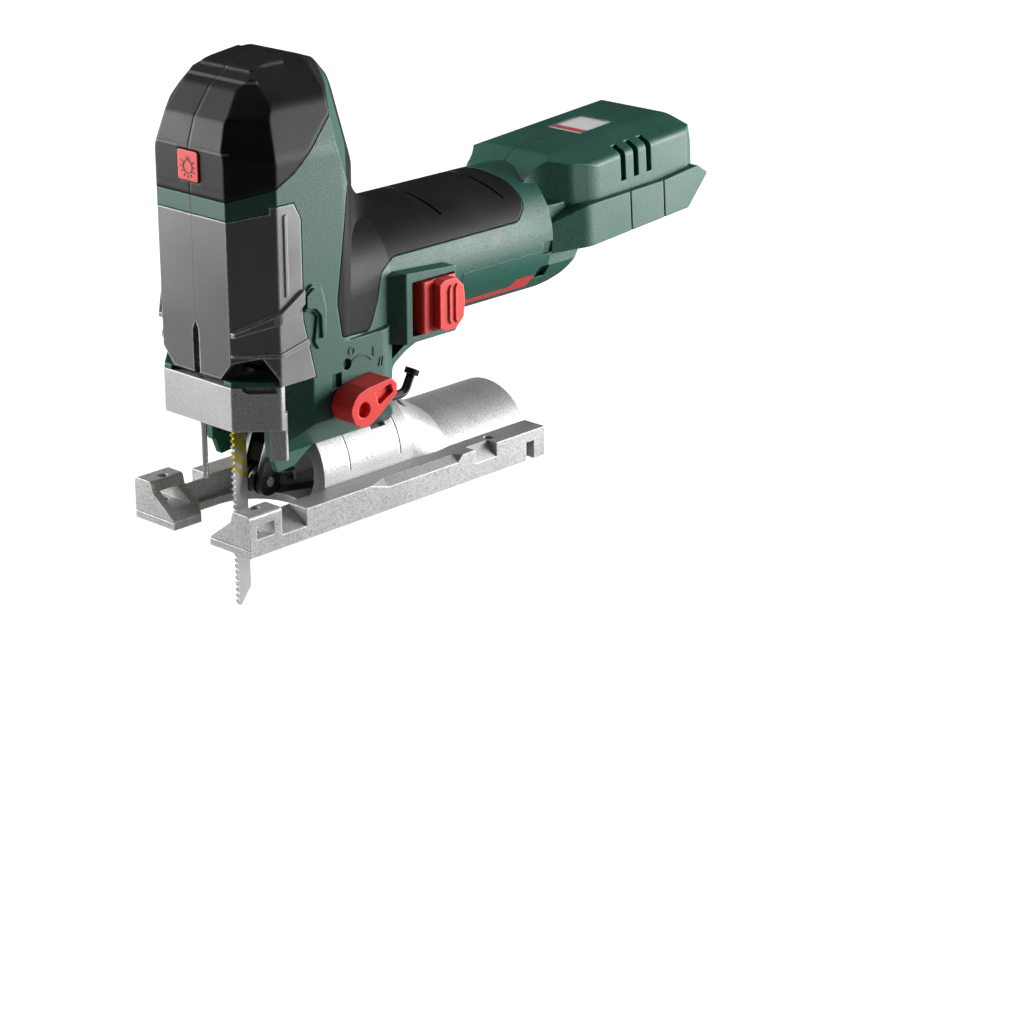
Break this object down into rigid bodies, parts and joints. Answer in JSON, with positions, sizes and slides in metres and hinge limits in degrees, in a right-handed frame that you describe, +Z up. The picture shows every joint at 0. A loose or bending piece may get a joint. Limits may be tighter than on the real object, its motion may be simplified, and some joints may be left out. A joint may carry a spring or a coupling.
{
  "type": "cordless jigsaw",
  "caption": "Cordless barrel-grip jigsaw with a tilting cast base, clear chip cover, pendulum roller, slide switch and an open battery shoe.",
  "frame": {"origin": "middle of the sole's underside: centre plane of the base, halfway along its length", "axes": "+X from the blade towards the battery shoe, +Y towards the flank without controls, +Z up from the sole"},
  "size_m": [0.2694, 0.0799, 0.2211],
  "materials": {
    "base_plate": "shot-blasted casting",
    "bearing_plate": "die cast",
    "blade_clamp": "machined steel",
    "chip_cover": "smoked clear moulding",
    "clamp_screw": "machined steel",
    "clamp_washer": "machined steel",
    "contact_blades": "copper",
    "cooling_fan": "moulded",
    "crank_gear": "machined steel",
    "fork_carrier": "die cast",
    "fork_pin": "ground steel",
    "fork_tail": "black moulding",
    "front_guard": "shot-blasted casting",
    "gear_axle": "ground steel",
    "gearbox_frame": "die cast",
    "grip_left": "soft overmould, fine grain",
    "grip_right": "soft overmould, fine grain",
    "guard_rod": "ground steel",
    "guide_roller": "ground steel",
    "head_cap_left": "soft overmould, fine grain",
    "head_cap_right": "soft overmould, fine grain",
    "hex_key": "machined steel",
    "housing_left": "fine-grained dark green moulding",
    "housing_right": "fine-grained dark green moulding",
    "housing_screws": "machined steel",
    "knob_shaft": "black moulding",
    "label_window": "smooth dark window",
    "light_board": "circuit board",
    "light_button": "satin red moulding",
    "micro_switch": "black moulding",
    "motor_bearings": "machined steel",
    "motor_controller": "circuit board",
    "motor_rotor": "machined steel",
    "motor_stator": "machined steel",
    "motor_windings": "copper",
    "orbit_knob": "satin red moulding",
    "pendulum_fork": "machined steel",
    "plunger": "ground steel",
    "plunger_bushes": "sintered bronze",
    "release_collar": "black moulding",
    "roller_pin": "ground steel",
    "saddle_bosses": "shot-blasted casting",
    "saddle_screws": "machined steel",
    "saw_blade": "ground steel",
    "switch_rod": "black moulding",
    "switch_slider": "satin red moulding",
    "swivel_saddle": "shot-blasted casting",
    "terminal_block": "black moulding",
    "work_lamp": "clear lens"
  },
  "bodies": {
    "base": {"base_plate": "base_plate", "swivel_saddle": "swivel_saddle", "saddle_bosses": "saddle_bosses", "saddle_screws": "saddle_screws"},
    "body": {"housing_left": "housing_left", "housing_right": "housing_right", "head_cap_left": "head_cap_left", "head_cap_right": "head_cap_right", "grip_left": "grip_left", "grip_right": "grip_right", "front_guard": "front_guard", "guard_rod": "guard_rod", "light_board": "light_board", "work_lamp": "work_lamp", "gearbox_frame": "gearbox_frame", "plunger_bushes": "plunger_bushes", "gear_axle": "gear_axle", "motor_stator": "motor_stator", "motor_windings": "motor_windings", "motor_bearings": "motor_bearings", "bearing_plate": "bearing_plate", "fork_pin": "fork_pin", "fork_carrier": "fork_carrier", "clamp_washer": "clamp_washer", "clamp_screw": "clamp_screw", "micro_switch": "micro_switch", "motor_controller": "motor_controller", "terminal_block": "terminal_block", "contact_blades": "contact_blades", "label_window": "label_window", "housing_screws": "housing_screws"},
    "cover": {"chip_cover": "chip_cover"},
    "light_key": {"light_button": "light_button"},
    "gear": {"crank_gear": "crank_gear"},
    "rotor": {"motor_rotor": "motor_rotor", "cooling_fan": "cooling_fan"},
    "plunger_body": {"plunger": "plunger", "blade_clamp": "blade_clamp", "saw_blade": "saw_blade"},
    "collar": {"release_collar": "release_collar"},
    "fork": {"pendulum_fork": "pendulum_fork", "fork_tail": "fork_tail", "roller_pin": "roller_pin"},
    "roller": {"guide_roller": "guide_roller"},
    "selector": {"orbit_knob": "orbit_knob", "knob_shaft": "knob_shaft"},
    "slide_switch": {"switch_slider": "switch_slider", "switch_rod": "switch_rod"},
    "key": {"hex_key": "hex_key"}
  },
  "joints": [
    {"name": "bevel_tilt", "type": "hinge", "parent": "base", "child": "body", "pos_m": [0.0005, 0, 0.0165], "axis": [1, 0, 0], "range_deg": [-45, 45]},
    {"name": "blade_stroke", "type": "slide", "parent": "body", "child": "plunger_body", "axis": [0, 0, 1], "range_m": [-0.026, 0]},
    {"name": "crank_spin", "type": "hinge", "parent": "body", "child": "gear", "pos_m": [-0.036, 0, 0.119], "axis": [1, 0, 0], "continuous": true},
    {"name": "motor_spin", "type": "hinge", "parent": "body", "child": "rotor", "pos_m": [0.012, 0, 0.091], "axis": [1, 0, 0], "continuous": true},
    {"name": "collar_turn", "type": "hinge", "parent": "plunger_body", "child": "collar", "pos_m": [-0.0578, 0, 0.0636], "axis": [0, 0, 1], "range_deg": [0, 30], "stiffness_Nm_per_rad": 0.06, "springref_deg": -5.73},
    {"name": "pendulum_swing", "type": "hinge", "parent": "body", "child": "fork", "pos_m": [-0.038, 0, 0.05], "axis": [0, -1, 0], "range_deg": [0, 3], "stiffness_Nm_per_rad": 0.4, "springref_deg": -2.86},
    {"name": "roller_spin", "type": "hinge", "parent": "fork", "child": "roller", "pos_m": [-0.0479, 0, 0.0155], "axis": [0, 1, 0], "continuous": true},
    {"name": "orbit_select", "type": "hinge", "parent": "body", "child": "selector", "pos_m": [-0.031, -0.034, 0.0505], "axis": [0, -1, 0], "range_deg": [0, 48]},
    {"name": "switch_slide", "type": "slide", "parent": "body", "child": "slide_switch", "axis": [-1, 0, 0], "range_m": [0, 0.004]},
    {"name": "light_press", "type": "slide", "parent": "body", "child": "light_key", "axis": [1, 0, 0], "range_m": [0, 0.001], "stiffness_N_per_m": 400, "springref_m": -0.001},
    {"name": "cover_pull", "type": "slide", "parent": "body", "child": "cover", "axis": [-1, 0, 0], "range_m": [0, 0.02]},
    {"name": "key_pull", "type": "slide", "parent": "body", "child": "key", "axis": [1, 0, 0], "range_m": [0, 0.03]}
  ],
  "couplings": [
    {"joint": "motor_spin", "follows": "crank_spin", "ratio": -4.6}
  ]
}
